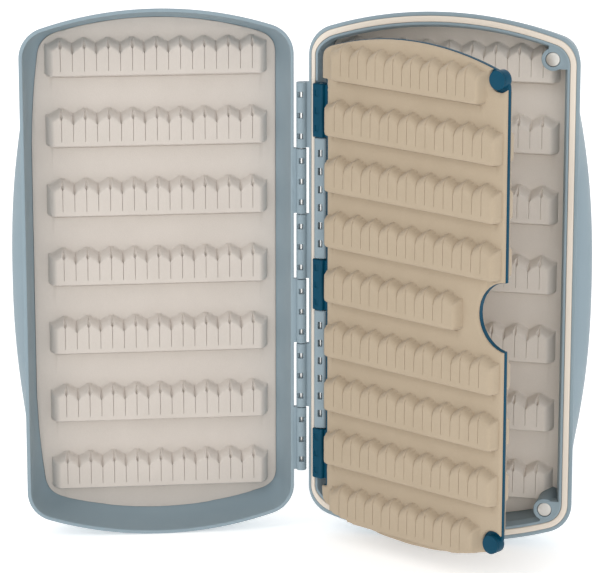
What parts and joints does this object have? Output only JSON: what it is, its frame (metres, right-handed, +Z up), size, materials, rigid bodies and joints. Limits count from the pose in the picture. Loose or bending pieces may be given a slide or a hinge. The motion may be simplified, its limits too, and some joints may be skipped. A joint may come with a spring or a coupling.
{
  "type": "fly box",
  "caption": "Open pocket box for fishing flies: two moulded trays on a pinned hinge, sealed rim, slotted foam mats and a hinged double-sided leaf.",
  "frame": {"origin": "on the standing surface, under the middle of the open box", "axes": "+X from the lid's side to the base's side along the base's width, +Y from the open side of the base to its back, +Z up along the hinge pins"},
  "size_m": [0.2098, 0.0644, 0.197],
  "materials": {
    "shell": "satin moulded plastic, slate blue",
    "base_foam": "matte closed-cell foam, warm grey",
    "lid_foam": "matte closed-cell foam, pale warm grey",
    "leaf_foam": "matte closed-cell foam, tan",
    "leaf_plastic": "semi-gloss moulded plastic, dark teal",
    "seal": "soft cream rubber",
    "hinge_steel": "drawn stainless wire",
    "magnet": "nickel-plated disc",
    "adhesive": "double-sided adhesive sheet"
  },
  "bodies": {
    "base": {"base_shell": "shell", "base_mat": "base_foam", "base_mat_adhesive": "adhesive", "rim_seal": "seal", "main_hinge_pin": "hinge_steel", "leaf_hinge_pin": "hinge_steel", "base_magnet_upper": "magnet", "base_magnet_lower": "magnet"},
    "lid": {"lid_shell": "shell", "lid_mat": "lid_foam", "lid_mat_adhesive": "adhesive"},
    "leaf": {"leaf_frame": "leaf_plastic", "leaf_front_mat": "leaf_foam", "leaf_back_mat": "leaf_foam", "leaf_front_adhesive": "adhesive", "leaf_back_adhesive": "adhesive", "leaf_magnet_upper": "magnet", "leaf_magnet_lower": "magnet", "leaf_magnet_cap_upper": "leaf_plastic", "leaf_magnet_cap_lower": "leaf_plastic"}
  },
  "joints": [
    {"name": "lid_hinge", "type": "hinge", "parent": "base", "child": "lid", "pos_m": [-0.00094, 0.01325, 0.0985], "axis": [0, 0, 1], "range_deg": [-20.5, 159.5]},
    {"name": "leaf_hinge", "type": "hinge", "parent": "base", "child": "leaf", "pos_m": [0.00666, 0.01205, 0.0985], "axis": [0, 0, 1], "range_deg": [-115, 28.2]}
  ],
  "couplings": [
    {"joint": "leaf_hinge", "follows": "lid_hinge", "ratio": 0.1768}
  ]
}
